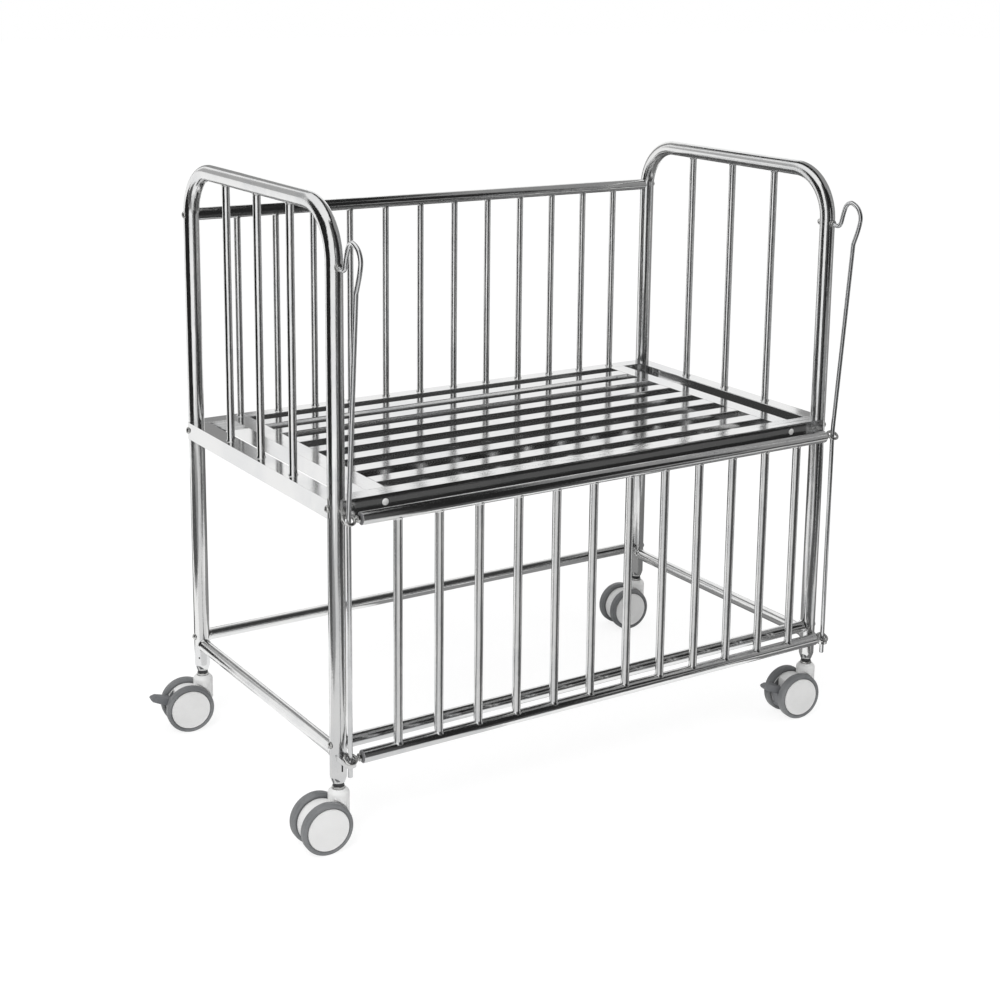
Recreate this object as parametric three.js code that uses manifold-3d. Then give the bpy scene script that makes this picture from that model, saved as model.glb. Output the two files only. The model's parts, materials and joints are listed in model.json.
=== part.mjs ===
import * as THREE from 'three';
import { mergeVertices } from 'three/addons/utils/BufferGeometryUtils.js';
import Module from 'manifold-3d';

// Millimetres, +Z up, +X to the right along the drop side, +Y away from it.

// Gap left between pieces that touch, and the overrun of every cutter.
const FIT = 0.3;
const OVERRUN = 2;

// Facets round a circle and along a bend.
const TUBE_FACETS = 20;
const BALUSTER_FACETS = 12;
const ROD_FACETS = 12;
const BEND_STEPS = 8;
const HOOK_STEPS = 20;
const EYE_FACETS = 6;
const EYE_STEPS = 16;
const NUT_SIDES = 6;
const WHEEL_FACETS = 20;
const HOUSING_FACETS = 24;
const STEM_FACETS = 16;
const LUG_STEPS = 8;

// End frames: one tube bent into an inverted U, from leg to leg.
const LEG_SPAN_X = 1150;
const LEG_SPAN_Y = 630;
const LEG_R = 16;
const END_TOP_Z = 1196;
const END_BEND_R = 100;
const LEG_END_Z = 124;
const LEG_TAPER_H = 13;
const LEG_TIP_R = 12;
const DRAIN_R = 3;
const DRAIN_Z = 165;

// Uprights of the end frames, the outer ones set in from the legs' axes.
const END_BALUSTER_R = 7.65;
const END_BALUSTER_EDGE = 174;
const END_BALUSTER_SIDE_COUNT = 1;

// Angle rails round the deck.
const DECK_Z = 670;
const RAIL_H = 35;
const RAIL_REACH = 35;
const RAIL_WALL = 2;
const RAIL_END_PAST_LEG = 2;
const SIDE_RAIL_END_SHORT = 3;

// Low stretchers.
const STRETCHER_R = 12.5;
const SIDE_STRETCHER_Z = 200;
const END_STRETCHER_Z = 182;

// Rear guard and drop side share one pattern of uprights, which starts at a set distance from the legs' axes.
const GRILLE_COUNT = 12;
const GRILLE_EDGE = 99.25;
const GRILLE_R = 7;
const GRILLE_TUBE_R = 12.5;
const GUARD_BELOW_TOP = 94;

// Deck channels, placed from the legs' axes.
const CROSS_INSIDE_LEG = 70;
const CROSS_W = 40;
const CROSS_H = 32;
const CHANNEL_WALL = 2;
const SLAT_SIDE_COUNT = 3;
const SLAT_EDGE = 73.5;
const SLAT_W = 37.5;
const SLAT_H = 20;

// Drop side, shown lowered.
const SIDE_Y_FROM_LEG = 48;
const SIDE_LOW_Z = 187;
const SIDE_HIGH_Z = 642;
const SIDE_TUBE_SHORT = 22;
const TUBE_CHAMFER = 2.5;

// Eye bolts that slide on the guide rods.
const EYE_R = 11;
const EYE_WIRE_R = 2.5;
const EYE_SHANK_R = 4;
const EYE_SHANK_IN = 20;
const EYE_NUT_R = 7.5;
const EYE_NUT_W = 6;

// Guide rods with a hook at the top.
const ROD_R = 4.5;
const ROD_FOOT_BELOW_LUG = 22;
const LEAN_START_Z = 650;
const LEAN_END_BELOW_NOTCH = 32;
const LEAN = 33;
const NOTCH_BELOW_BEND = 8;
const HOOK_REACH = 99;
const HOOK_H = 54;
const HOOK_ROOT_RISE = 3;
const ROD_TAIL = 7;
// Hook centre line from the outer bulge over the crown down to the notch: reach, then height.
const HOOK_SHARES = [
  [0.91, 0],
  [0.985, 0.3],
  [1, 0.52],
  [0.94, 0.82],
  [0.79, 1],
  [0.63, 0.94],
  [0.525, 0.62],
  [0.44, 0.3],
  [0.365, 0.07],
  [0.29, 0],
];

// Nut behind the leg and the lug at the foot of each rod.
const ROD_NUT_R = 7.5;
const ROD_NUT_W = 6;
const ROD_NUT_DOME = 5;
const LUG_R = 11;
const LUG_T = 10;

// Casters.
const WHEEL_R = 50;
const WHEEL_W = 21;
const WHEEL_GAP = 31;
const TRAIL = 35;
const TYRE_T = 8.5;
const TYRE_ROUND = 3.5;
const RIM_W = 2;
const RIM_DEEP = 1.5;
const HUB_DOME = 1.2;
const AXLE_R = 4;
const AXLE_IN_WHEEL = 12;
const STEM_R = 9;
const STEM_IN_LEG = 36;
const PIN_R = 5.5;
const PIN_DEEP = 30;
const BLACK_RING_R = 10.5;
const BLACK_RING_H = 6;
const SILVER_RING_R = 12;
const SILVER_RING_H = 9.5;
const RING_SUNK = 5;
const COLUMN_R = 20.5;
const COLUMN_FOOT_Z = 60;
const COLUMN_TIP_R = 14;
const COLUMN_CONE_H = 6;
const HOOD_R = 43;
const HOOD_W = 26;
const HOOD_FOOT_Z = 20;
const WHEEL_CLEARANCE = 2;

// Brake pedals of two casters.
const PEDAL_PIVOT_BACK = 66;
const PEDAL_PIVOT_Z = 60;
const PEDAL_HUB_R = 7;
const PEDAL_W = 24;
const PEDAL_REACH = 61;
const PEDAL_RISE = 24;
const BRAKE_DROP = 35;
const HOOD_BACK = 61;
// Lever outline: reach from the pivot, then rise above it.
const PEDAL_SHARES = [
  [0, 0.28],
  [0.12, 0.52],
  [0.72, 1.08],
  [0.93, 1.06],
  [1, 0.96],
  [0.93, 0.7],
  [0.5, 0.18],
  [0.22, -0.1],
  [0, -0.28],
];
// Brake block outline: reach from the pivot, then drop below it.
const BLOCK_SHARES = [
  [0.03, 0.05],
  [0.32, 0.02],
  [0.28, 0.84],
  [0.12, 1],
];

// Each corner: its signs, how far its caster has swivelled and whether it has a brake.
const CORNERS = [
  { name: 'front_left', x: -1, y: -1, swivelDeg: -3, brake: false },
  { name: 'front_right', x: 1, y: -1, swivelDeg: -6, brake: true },
  { name: 'back_left', x: -1, y: 1, swivelDeg: -9, brake: true },
  { name: 'back_right', x: 1, y: 1, swivelDeg: -5, brake: false },
];

const STEEL = { color: 0xc9cbcc, metalness: 1, roughness: 0.22 };
const PLATED = { color: 0xb8bbbd, metalness: 1, roughness: 0.3 };
const WHITE_PLASTIC = { color: 0xe6e7e7, metalness: 0, roughness: 0.45 };
const WHEEL_GREY = { color: 0x8b8d90, metalness: 0, roughness: 0.6 };
const PEDAL_GREY = { color: 0x595b5e, metalness: 0, roughness: 0.55 };

const legX = LEG_SPAN_X / 2;
const legY = LEG_SPAN_Y / 2;
const sideY = -legY - SIDE_Y_FROM_LEG;
const sideTubeEndX = legX - SIDE_TUBE_SHORT;
const crossOuterX = legX - CROSS_INSIDE_LEG;
const slatPitch = (legY - SLAT_EDGE) / SLAT_SIDE_COUNT;
const endBalusterPitch = (legY - END_BALUSTER_EDGE) / END_BALUSTER_SIDE_COUNT;
const guardZ = END_TOP_Z - GUARD_BELOW_TOP;
const notchZ = END_TOP_Z - END_BEND_R - NOTCH_BELOW_BEND;
const leanEndZ = notchZ - LEAN_END_BELOW_NOTCH;
const grilleHalf = (GRILLE_COUNT - 1) / 2;
const grillePitch = (legX - GRILLE_EDGE) / grilleHalf;
const stemTopZ = LEG_END_Z - FIT;
const silverTopZ = stemTopZ - BLACK_RING_H;
const silverFootZ = silverTopZ - SILVER_RING_H;
const housingTopZ = silverFootZ - FIT + RING_SUNK;
const lugTopZ = SIDE_LOW_Z - EYE_WIRE_R - FIT;
const lugFootZ = lugTopZ - LUG_T;
const turn = Math.PI * 2;

const wasm = await Module();
wasm.setup();

const group = new THREE.Group();
group.name = 'hospital_bassinet';

function point(x, y, z) {
  return new THREE.Vector3(x, y, z);
}

function solid(geometry) {
  const bare = geometry.clone();
  bare.deleteAttribute('normal');
  bare.deleteAttribute('uv');
  const merged = mergeVertices(bare);
  return new wasm.Manifold(new wasm.Mesh({
    numProp: 3,
    vertProperties: merged.attributes.position.array,
    triVerts: Uint32Array.from(merged.index.array),
  }));
}

function addPiece(name, manifold, look) {
  const mesh = manifold.getMesh();
  const geometry = new THREE.BufferGeometry();
  geometry.setAttribute('position', new THREE.BufferAttribute(Float32Array.from(mesh.vertProperties), 3));
  geometry.setIndex(new THREE.BufferAttribute(Uint32Array.from(mesh.triVerts), 1));
  geometry.computeVertexNormals();
  const piece = new THREE.Mesh(geometry, new THREE.MeshStandardMaterial(look));
  piece.name = name;
  group.add(piece);
}

// A straight bar between two points, with another radius at its far end if one is given.
function bar(from, to, radius, facets, farRadius = radius) {
  const span = new THREE.Vector3().subVectors(to, from);
  const geometry = new THREE.CylinderGeometry(farRadius, radius, span.length(), facets);
  const aim = new THREE.Quaternion().setFromUnitVectors(point(0, 1, 0), span.clone().normalize());
  geometry.applyQuaternion(aim);
  const middle = new THREE.Vector3().addVectors(from, to).multiplyScalar(0.5);
  geometry.translate(middle.x, middle.y, middle.z);
  return solid(geometry);
}

// A route through set stations, so that straight runs take no extra facets.
class Route extends THREE.Curve {
  constructor(stations) {
    super();
    this.stations = stations;
  }

  getPoint(share, target = new THREE.Vector3()) {
    const last = this.stations.length - 1;
    return target.copy(this.stations[Math.round(share * last)]);
  }

  getPointAt(share, target) {
    return this.getPoint(share, target);
  }

  getTangentAt(share, target = new THREE.Vector3()) {
    const last = this.stations.length - 1;
    const here = Math.round(share * last);
    const before = this.stations[Math.max(here - 1, 0)];
    const after = this.stations[Math.min(here + 1, last)];
    const ahead = new THREE.Vector3().subVectors(after, this.stations[here]).normalize();
    const behind = new THREE.Vector3().subVectors(this.stations[here], before).normalize();
    return target.addVectors(ahead, behind).normalize();
  }
}

function disc(radius, facets) {
  const points = [];
  for (let i = 0; i < facets; i += 1) {
    const angle = (i / facets) * turn;
    points.push(new THREE.Vector2(radius * Math.cos(angle), radius * Math.sin(angle)));
  }
  return new THREE.Shape(points);
}

function sweep(stations, radius, facets) {
  const route = new Route(stations);
  return solid(new THREE.ExtrudeGeometry(disc(radius, facets), {
    steps: stations.length - 1,
    extrudePath: route,
  }));
}

// An outline given as pairs, extruded evenly to both sides of the origin along one axis.
const PLANES = {
  x: [point(0, 1, 0), point(0, 0, 1), point(1, 0, 0)],
  y: [point(1, 0, 0), point(0, 0, 1), point(0, -1, 0)],
  z: [point(1, 0, 0), point(0, 1, 0), point(0, 0, 1)],
};

function prism(outline, length, axis) {
  const shape = new THREE.Shape(outline.map(([a, b]) => new THREE.Vector2(a, b)));
  const geometry = new THREE.ExtrudeGeometry(shape, { depth: length, bevelEnabled: false, steps: 1 });
  geometry.translate(0, 0, -length / 2);
  geometry.applyMatrix4(new THREE.Matrix4().makeBasis(...PLANES[axis]));
  return solid(geometry);
}

function box(low, high) {
  const outline = [[low.x, low.y], [high.x, low.y], [high.x, high.y], [low.x, high.y]];
  return prism(outline, high.z - low.z, 'z').translate([0, 0, (low.z + high.z) / 2]);
}

function lathe(profile, facets) {
  return solid(new THREE.LatheGeometry(profile.map(([r, along]) => new THREE.Vector2(r, along)), facets));
}

// A profile of radius and height revolved about a vertical axis.
function revolve(profile, facets) {
  return lathe(profile, facets).rotate([90, 0, 0]);
}

function endTubeStations(x) {
  const stations = [point(x, -legY, LEG_END_Z + LEG_TAPER_H)];
  const bendY = legY - END_BEND_R;
  const bendZ = END_TOP_Z - END_BEND_R;
  for (let i = 0; i <= BEND_STEPS; i += 1) {
    const angle = (i / BEND_STEPS) * (turn / 4);
    const y = bendY + END_BEND_R * Math.cos(angle);
    stations.push(point(x, -y, bendZ + END_BEND_R * Math.sin(angle)));
  }
  const mirrored = stations.map((p) => point(p.x, -p.y, p.z)).reverse();
  return stations.concat(mirrored);
}

// The room an end tube needs, used to shape whatever is welded against it.
const endTubeRoom = {
  left: sweep(endTubeStations(-legX), LEG_R + FIT, TUBE_FACETS),
  right: sweep(endTubeStations(legX), LEG_R + FIT, TUBE_FACETS),
};

function coped(manifold) {
  return manifold.subtract(endTubeRoom.left).subtract(endTubeRoom.right);
}

function hookPoint(x, [reachShare, heightShare]) {
  return point(x, -legY - HOOK_REACH * reachShare, notchZ + HOOK_H * heightShare);
}

function rodStations(x) {
  const straight = [
    point(x, sideY, lugFootZ - ROD_FOOT_BELOW_LUG),
    point(x, sideY, LEAN_START_Z),
  ];
  const leanEnd = point(x, sideY - LEAN, leanEndZ);
  const entry = point(x, -legY - LEG_R, notchZ + HOOK_ROOT_RISE);
  const hook = [leanEnd, ...HOOK_SHARES.map((pair) => hookPoint(x, pair)), entry];
  const curve = new THREE.CatmullRomCurve3(hook, false, 'centripetal');
  const tail = point(x, -legY + LEG_R + ROD_TAIL, notchZ + HOOK_ROOT_RISE);
  return [...straight, ...curve.getSpacedPoints(HOOK_STEPS), tail];
}

function lug(x) {
  const outline = [[x + LUG_R, -legY]];
  for (let i = 0; i <= LUG_STEPS; i += 1) {
    const angle = (i / LUG_STEPS) * (turn / 2);
    outline.push([x + LUG_R * Math.cos(angle), sideY - LUG_R * Math.sin(angle)]);
  }
  outline.push([x - LUG_R, -legY]);
  return prism(outline, LUG_T, 'z').translate([0, 0, lugTopZ - LUG_T / 2]);
}

function buildEndTube(name, x) {
  let tube = sweep(endTubeStations(x), LEG_R, TUBE_FACETS);
  for (const side of [-1, 1]) {
    const y = side * legY;
    const taperTop = point(x, y, LEG_END_Z + LEG_TAPER_H);
    tube = tube.add(bar(point(x, y, LEG_END_Z), taperTop, LEG_TIP_R, TUBE_FACETS, LEG_R));
    const boreTop = point(x, y, LEG_END_Z + STEM_IN_LEG + FIT);
    tube = tube.subtract(bar(point(x, y, LEG_END_Z - OVERRUN), boreTop, STEM_R + FIT, TUBE_FACETS));
    const drainOut = point(x, y - LEG_R - OVERRUN, DRAIN_Z);
    tube = tube.subtract(bar(point(x, y, DRAIN_Z), drainOut, DRAIN_R, ROD_FACETS));
  }
  tube = tube.add(lug(x));
  const rodHole = LEG_R + OVERRUN;
  const rodZ = notchZ + HOOK_ROOT_RISE;
  tube = tube.subtract(bar(point(x, -legY - rodHole, rodZ), point(x, -legY + rodHole, rodZ), ROD_R + FIT, ROD_FACETS));
  const eyeFoot = point(x, sideY, lugFootZ - OVERRUN);
  tube = tube.subtract(bar(eyeFoot, point(x, sideY, lugTopZ + OVERRUN), ROD_R + FIT, ROD_FACETS));
  addPiece(name, tube, STEEL);
}

function buildEndFrame(label, side) {
  const x = side * legX;
  buildEndTube(`end_tube_${label}`, x);
  for (let i = -END_BALUSTER_SIDE_COUNT; i <= END_BALUSTER_SIDE_COUNT; i += 1) {
    const y = i * endBalusterPitch;
    const upright = bar(point(x, y, DECK_Z + FIT), point(x, y, END_TOP_Z), END_BALUSTER_R, BALUSTER_FACETS);
    addPiece(`end_baluster_${label}_${i + END_BALUSTER_SIDE_COUNT + 1}`, coped(upright), STEEL);
  }
  const stretcher = bar(point(x, -legY, END_STRETCHER_Z), point(x, legY, END_STRETCHER_Z), STRETCHER_R, TUBE_FACETS);
  addPiece(`end_stretcher_${label}`, coped(stretcher), STEEL);
  buildEndRail(label, side);
}

// An angle with its web outside the legs and its flange pointing inward at deck height.
function angleOutline(side, webInner) {
  const webOuter = webInner + RAIL_WALL;
  const flangeEdge = webInner - RAIL_REACH;
  return [
    [side * flangeEdge, DECK_Z],
    [side * webOuter, DECK_Z],
    [side * webOuter, DECK_Z - RAIL_H],
    [side * webInner, DECK_Z - RAIL_H],
    [side * webInner, DECK_Z - RAIL_WALL],
    [side * flangeEdge, DECK_Z - RAIL_WALL],
  ];
}

function buildEndRail(label, side) {
  const webInner = legX + LEG_R + FIT;
  const railHalf = legY + RAIL_END_PAST_LEG;
  let rail = prism(angleOutline(side, webInner), railHalf * 2, 'y');
  const flangeEnd = legY + LEG_R - RAIL_REACH;
  for (const end of [-1, 1]) {
    const corner = [end * flangeEnd, end * (railHalf + OVERRUN)].sort((a, b) => a - b);
    const across = [side * (webInner - RAIL_REACH - OVERRUN), side * legX].sort((a, b) => a - b);
    const low = point(across[0], corner[0], DECK_Z - RAIL_WALL - FIT);
    rail = rail.subtract(box(low, point(across[1], corner[1], DECK_Z + OVERRUN)));
  }
  addPiece(`end_rail_${label}`, coped(rail), STEEL);
}

function buildSideRail(label, side) {
  const webInner = legY + LEG_R + FIT;
  const rail = prism(angleOutline(side, webInner), (legX - SIDE_RAIL_END_SHORT) * 2, 'x');
  addPiece(`side_rail_${label}`, coped(rail), STEEL);
  const y = side * legY;
  const stretcher = bar(point(-legX, y, SIDE_STRETCHER_Z), point(legX, y, SIDE_STRETCHER_Z), STRETCHER_R, TUBE_FACETS);
  addPiece(`stretcher_${label}`, coped(stretcher), STEEL);
}

function grille(y, footZ, tubeZ) {
  let uprights = null;
  for (let i = 0; i < GRILLE_COUNT; i += 1) {
    const x = (i - grilleHalf) * grillePitch;
    const upright = bar(point(x, y, footZ), point(x, y, tubeZ), GRILLE_R, BALUSTER_FACETS);
    uprights = uprights ? uprights.add(upright) : upright;
  }
  return uprights;
}

function buildRearGuard() {
  const tube = bar(point(-legX, legY, guardZ), point(legX, legY, guardZ), GRILLE_TUBE_R, TUBE_FACETS);
  addPiece('rear_guard', coped(tube.add(grille(legY, DECK_Z + FIT, guardZ))), STEEL);
}

function channelOutline(width, height) {
  const half = width / 2;
  const inner = half - CHANNEL_WALL;
  const foot = DECK_Z - height;
  return [
    [-half, foot],
    [-half, DECK_Z],
    [half, DECK_Z],
    [half, foot],
    [inner, foot],
    [inner, DECK_Z - CHANNEL_WALL],
    [-inner, DECK_Z - CHANNEL_WALL],
    [-inner, foot],
  ];
}

function buildDeck() {
  const crossX = crossOuterX - CROSS_W / 2;
  const flangeEdge = legY + LEG_R + FIT - RAIL_REACH;
  const webInner = legY + LEG_R + FIT;
  const channel = prism(channelOutline(CROSS_W, CROSS_H), (flangeEdge - FIT) * 2, 'y');
  const cheekOuter = CROSS_W / 2;
  const cheekInner = cheekOuter - CHANNEL_WALL;
  const cheekTopZ = DECK_Z - RAIL_WALL - FIT;
  const outer = box(
    point(-cheekOuter, -webInner + FIT, DECK_Z - CROSS_H),
    point(cheekOuter, webInner - FIT, cheekTopZ),
  );
  const hollow = box(
    point(-cheekInner, -webInner - OVERRUN, DECK_Z - CROSS_H - OVERRUN),
    point(cheekInner, webInner + OVERRUN, DECK_Z),
  );
  const cross = channel.add(outer.subtract(hollow));
  addPiece('deck_cross_left', cross.translate([-crossX, 0, 0]), STEEL);
  addPiece('deck_cross_right', cross.translate([crossX, 0, 0]), STEEL);
  const slatHalf = crossOuterX - CROSS_W - FIT;
  const slat = prism(channelOutline(SLAT_W, SLAT_H), slatHalf * 2, 'y').rotate([0, 0, 90]);
  for (let i = -SLAT_SIDE_COUNT; i <= SLAT_SIDE_COUNT; i += 1) {
    addPiece(`deck_slat_${i + SLAT_SIDE_COUNT + 1}`, slat.translate([0, i * slatPitch, 0]), STEEL);
  }
}

function pluggedTube(z) {
  const straight = sideTubeEndX - TUBE_CHAMFER;
  const tipR = GRILLE_TUBE_R - TUBE_CHAMFER;
  let tube = bar(point(-straight, sideY, z), point(straight, sideY, z), GRILLE_TUBE_R, TUBE_FACETS);
  for (const side of [-1, 1]) {
    const shoulder = point(side * straight, sideY, z);
    const end = point(side * sideTubeEndX, sideY, z);
    tube = tube.add(bar(shoulder, end, GRILLE_TUBE_R, TUBE_FACETS, tipR));
  }
  return tube;
}

function buildDropSide() {
  let frame = pluggedTube(SIDE_LOW_Z).add(pluggedTube(SIDE_HIGH_Z));
  frame = frame.add(grille(sideY, SIDE_LOW_Z, SIDE_HIGH_Z));
  for (const z of [SIDE_LOW_Z, SIDE_HIGH_Z]) {
    for (const side of [-1, 1]) {
      const deep = point(side * (sideTubeEndX - EYE_SHANK_IN - FIT), sideY, z);
      const out = point(side * (sideTubeEndX + OVERRUN), sideY, z);
      frame = frame.subtract(bar(deep, out, EYE_SHANK_R + FIT, ROD_FACETS));
    }
  }
  addPiece('drop_side', frame, STEEL);
}

function buildEye(name, side, z) {
  const ring = new THREE.TorusGeometry(EYE_R, EYE_WIRE_R, EYE_FACETS, EYE_STEPS);
  ring.translate(side * legX, sideY, z);
  const shankFrom = point(side * (legX - EYE_R), sideY, z);
  const shankTo = point(side * (sideTubeEndX - EYE_SHANK_IN), sideY, z);
  const nutFrom = point(side * (sideTubeEndX + FIT), sideY, z);
  const nutTo = point(side * (sideTubeEndX + FIT + EYE_NUT_W), sideY, z);
  let eye = solid(ring).add(bar(shankFrom, shankTo, EYE_SHANK_R, ROD_FACETS));
  const rodRoom = bar(
    point(side * legX, sideY, z - EYE_R),
    point(side * legX, sideY, z + EYE_R),
    EYE_R - EYE_WIRE_R,
    EYE_STEPS,
  );
  eye = eye.subtract(rodRoom).add(bar(nutFrom, nutTo, EYE_NUT_R, NUT_SIDES));
  addPiece(name, eye, PLATED);
}

function buildRod(label, side) {
  const x = side * legX;
  addPiece(`guide_rod_${label}`, sweep(rodStations(x), ROD_R, ROD_FACETS), PLATED);
  const z = notchZ + HOOK_ROOT_RISE;
  const seatY = -legY + LEG_R + FIT;
  const shoulderY = seatY + ROD_NUT_W;
  const domeY = shoulderY + ROD_NUT_DOME;
  const boreY = -legY + LEG_R + ROD_TAIL + FIT;
  const domeTipR = ROD_NUT_R - ROD_NUT_DOME;
  let nut = bar(point(x, seatY, z), point(x, shoulderY, z), ROD_NUT_R, NUT_SIDES);
  const domeR = ROD_NUT_R * Math.cos(turn / NUT_SIDES / 2);
  nut = nut.add(bar(point(x, seatY, z), point(x, shoulderY, z), domeR, ROD_FACETS));
  nut = nut.add(bar(point(x, shoulderY, z), point(x, domeY, z), domeR, ROD_FACETS, domeTipR));
  nut = nut.subtract(bar(point(x, seatY - OVERRUN, z), point(x, boreY, z), ROD_R + FIT, ROD_FACETS));
  addPiece(`rod_nut_${label}`, nut, PLATED);
}

function stemSolid() {
  return revolve([
    [0, silverFootZ - PIN_DEEP],
    [PIN_R, silverFootZ - PIN_DEEP],
    [PIN_R, silverFootZ],
    [SILVER_RING_R, silverFootZ],
    [SILVER_RING_R, silverTopZ],
    [BLACK_RING_R, silverTopZ],
    [BLACK_RING_R, stemTopZ],
    [STEM_R, stemTopZ],
    [STEM_R, LEG_END_Z + STEM_IN_LEG],
    [0, LEG_END_Z + STEM_IN_LEG],
  ], STEM_FACETS);
}

function housingSolid(brake) {
  const axis = (y) => point(-TRAIL, y, WHEEL_R);
  let housing = revolve([
    [0, COLUMN_FOOT_Z],
    [COLUMN_R, COLUMN_FOOT_Z],
    [COLUMN_R, housingTopZ - COLUMN_CONE_H],
    [COLUMN_TIP_R, housingTopZ],
    [0, housingTopZ],
  ], HOUSING_FACETS);
  housing = housing.add(bar(axis(-HOOD_W / 2), axis(HOOD_W / 2), HOOD_R, HOUSING_FACETS));
  const foot = box(
    point(-TRAIL - HOOD_R - OVERRUN, -HOOD_W, 0),
    point(COLUMN_R + OVERRUN, HOOD_W, HOOD_FOOT_Z),
  );
  housing = housing.subtract(foot);
  for (const side of [-1, 1]) {
    const room = bar(
      axis(side * (HOOD_W / 2)),
      axis(side * (COLUMN_R + OVERRUN)),
      WHEEL_R + WHEEL_CLEARANCE,
      HOUSING_FACETS,
    );
    housing = housing.subtract(room);
  }
  const pinFoot = point(0, 0, silverFootZ - PIN_DEEP - FIT);
  housing = housing.subtract(bar(pinFoot, point(0, 0, housingTopZ + OVERRUN), PIN_R + FIT, STEM_FACETS));
  const seat = point(0, 0, silverFootZ - FIT);
  housing = housing.subtract(bar(seat, point(0, 0, housingTopZ + OVERRUN), SILVER_RING_R + FIT, STEM_FACETS));
  const axleHalf = HOOD_W / 2 + OVERRUN;
  housing = housing.subtract(bar(axis(-axleHalf), axis(axleHalf), AXLE_R + FIT, ROD_FACETS));
  if (brake) {
    const back = box(
      point(-TRAIL - HOOD_R - OVERRUN, -HOOD_W, 0),
      point(-HOOD_BACK, HOOD_W, WHEEL_R * 2),
    );
    const hub = (y) => point(-PEDAL_PIVOT_BACK, y, PEDAL_PIVOT_Z);
    housing = housing.subtract(back);
    housing = housing.subtract(bar(hub(-HOOD_W), hub(HOOD_W), PEDAL_HUB_R + FIT, TUBE_FACETS));
  }
  return housing;
}

// A wheel with its axis along Y, its inner face at 0 and its outer face at the wheel width.
function wheelSolid() {
  const discR = WHEEL_R - TYRE_T;
  const faceY = WHEEL_W - RIM_DEEP;
  return lathe([
    [0, AXLE_IN_WHEEL + FIT],
    [AXLE_R + FIT, AXLE_IN_WHEEL + FIT],
    [AXLE_R + FIT, 0],
    [WHEEL_R - TYRE_ROUND, 0],
    [WHEEL_R, TYRE_ROUND],
    [WHEEL_R, WHEEL_W - TYRE_ROUND],
    [WHEEL_R - TYRE_ROUND, WHEEL_W],
    [discR - RIM_W, WHEEL_W],
    [discR - RIM_W * 2, faceY],
    [discR / 2, faceY + HUB_DOME],
    [0, faceY + HUB_DOME],
  ], WHEEL_FACETS);
}

function pedalSolid() {
  const back = (share) => -PEDAL_PIVOT_BACK - PEDAL_REACH * share;
  const lever = PEDAL_SHARES.map(([r, z]) => [back(r), PEDAL_PIVOT_Z + PEDAL_RISE * z]);
  const block = BLOCK_SHARES.map(([r, z]) => [back(r), PEDAL_PIVOT_Z - BRAKE_DROP * z]);
  const hub = (y) => point(-PEDAL_PIVOT_BACK, y, PEDAL_PIVOT_Z);
  const half = PEDAL_W / 2;
  return bar(hub(-half), hub(half), PEDAL_HUB_R, TUBE_FACETS)
    .add(prism(lever, PEDAL_W, 'y'))
    .add(prism(block, PEDAL_W, 'y'));
}

function buildCaster(corner) {
  const place = (manifold) => manifold
    .rotate([0, 0, corner.swivelDeg])
    .translate([corner.x * legX, corner.y * legY, 0]);
  addPiece(`caster_stem_${corner.name}`, place(stemSolid()), PLATED);
  addPiece(`caster_housing_${corner.name}`, place(housingSolid(corner.brake)), WHITE_PLASTIC);
  const axleHalf = WHEEL_GAP / 2 + AXLE_IN_WHEEL;
  const axle = bar(point(-TRAIL, -axleHalf, WHEEL_R), point(-TRAIL, axleHalf, WHEEL_R), AXLE_R, ROD_FACETS);
  addPiece(`wheel_axle_${corner.name}`, place(axle), PLATED);
  const far = wheelSolid().translate([-TRAIL, WHEEL_GAP / 2, WHEEL_R]);
  const near = wheelSolid().rotate([180, 0, 0]).translate([-TRAIL, -WHEEL_GAP / 2, WHEEL_R]);
  addPiece(`wheel_${corner.name}_far`, place(far), WHEEL_GREY);
  addPiece(`wheel_${corner.name}_near`, place(near), WHEEL_GREY);
  if (corner.brake) {
    addPiece(`brake_pedal_${corner.name}`, place(pedalSolid()), PEDAL_GREY);
  }
}

buildEndFrame('left', -1);
buildEndFrame('right', 1);
buildSideRail('front', -1);
buildSideRail('back', 1);
buildRearGuard();
buildDeck();
buildDropSide();
for (const [label, side] of [['left', -1], ['right', 1]]) {
  buildEye(`eye_lower_${label}`, side, SIDE_LOW_Z);
  buildEye(`eye_upper_${label}`, side, SIDE_HIGH_Z);
  buildRod(label, side);
}
CORNERS.forEach(buildCaster);

// The origin lies on the floor at the middle of the overall box.
const bounds = new THREE.Box3().setFromObject(group);
const middle = bounds.getCenter(new THREE.Vector3());
for (const piece of group.children) {
  piece.geometry.translate(-middle.x, -middle.y, -bounds.min.z);
}

export default group;
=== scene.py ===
"""Looks of a steel tube cot with a drop side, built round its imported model. Metres, +Z up."""

import json
import math

import bmesh
import bpy
from mathutils import Matrix, Vector


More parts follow.
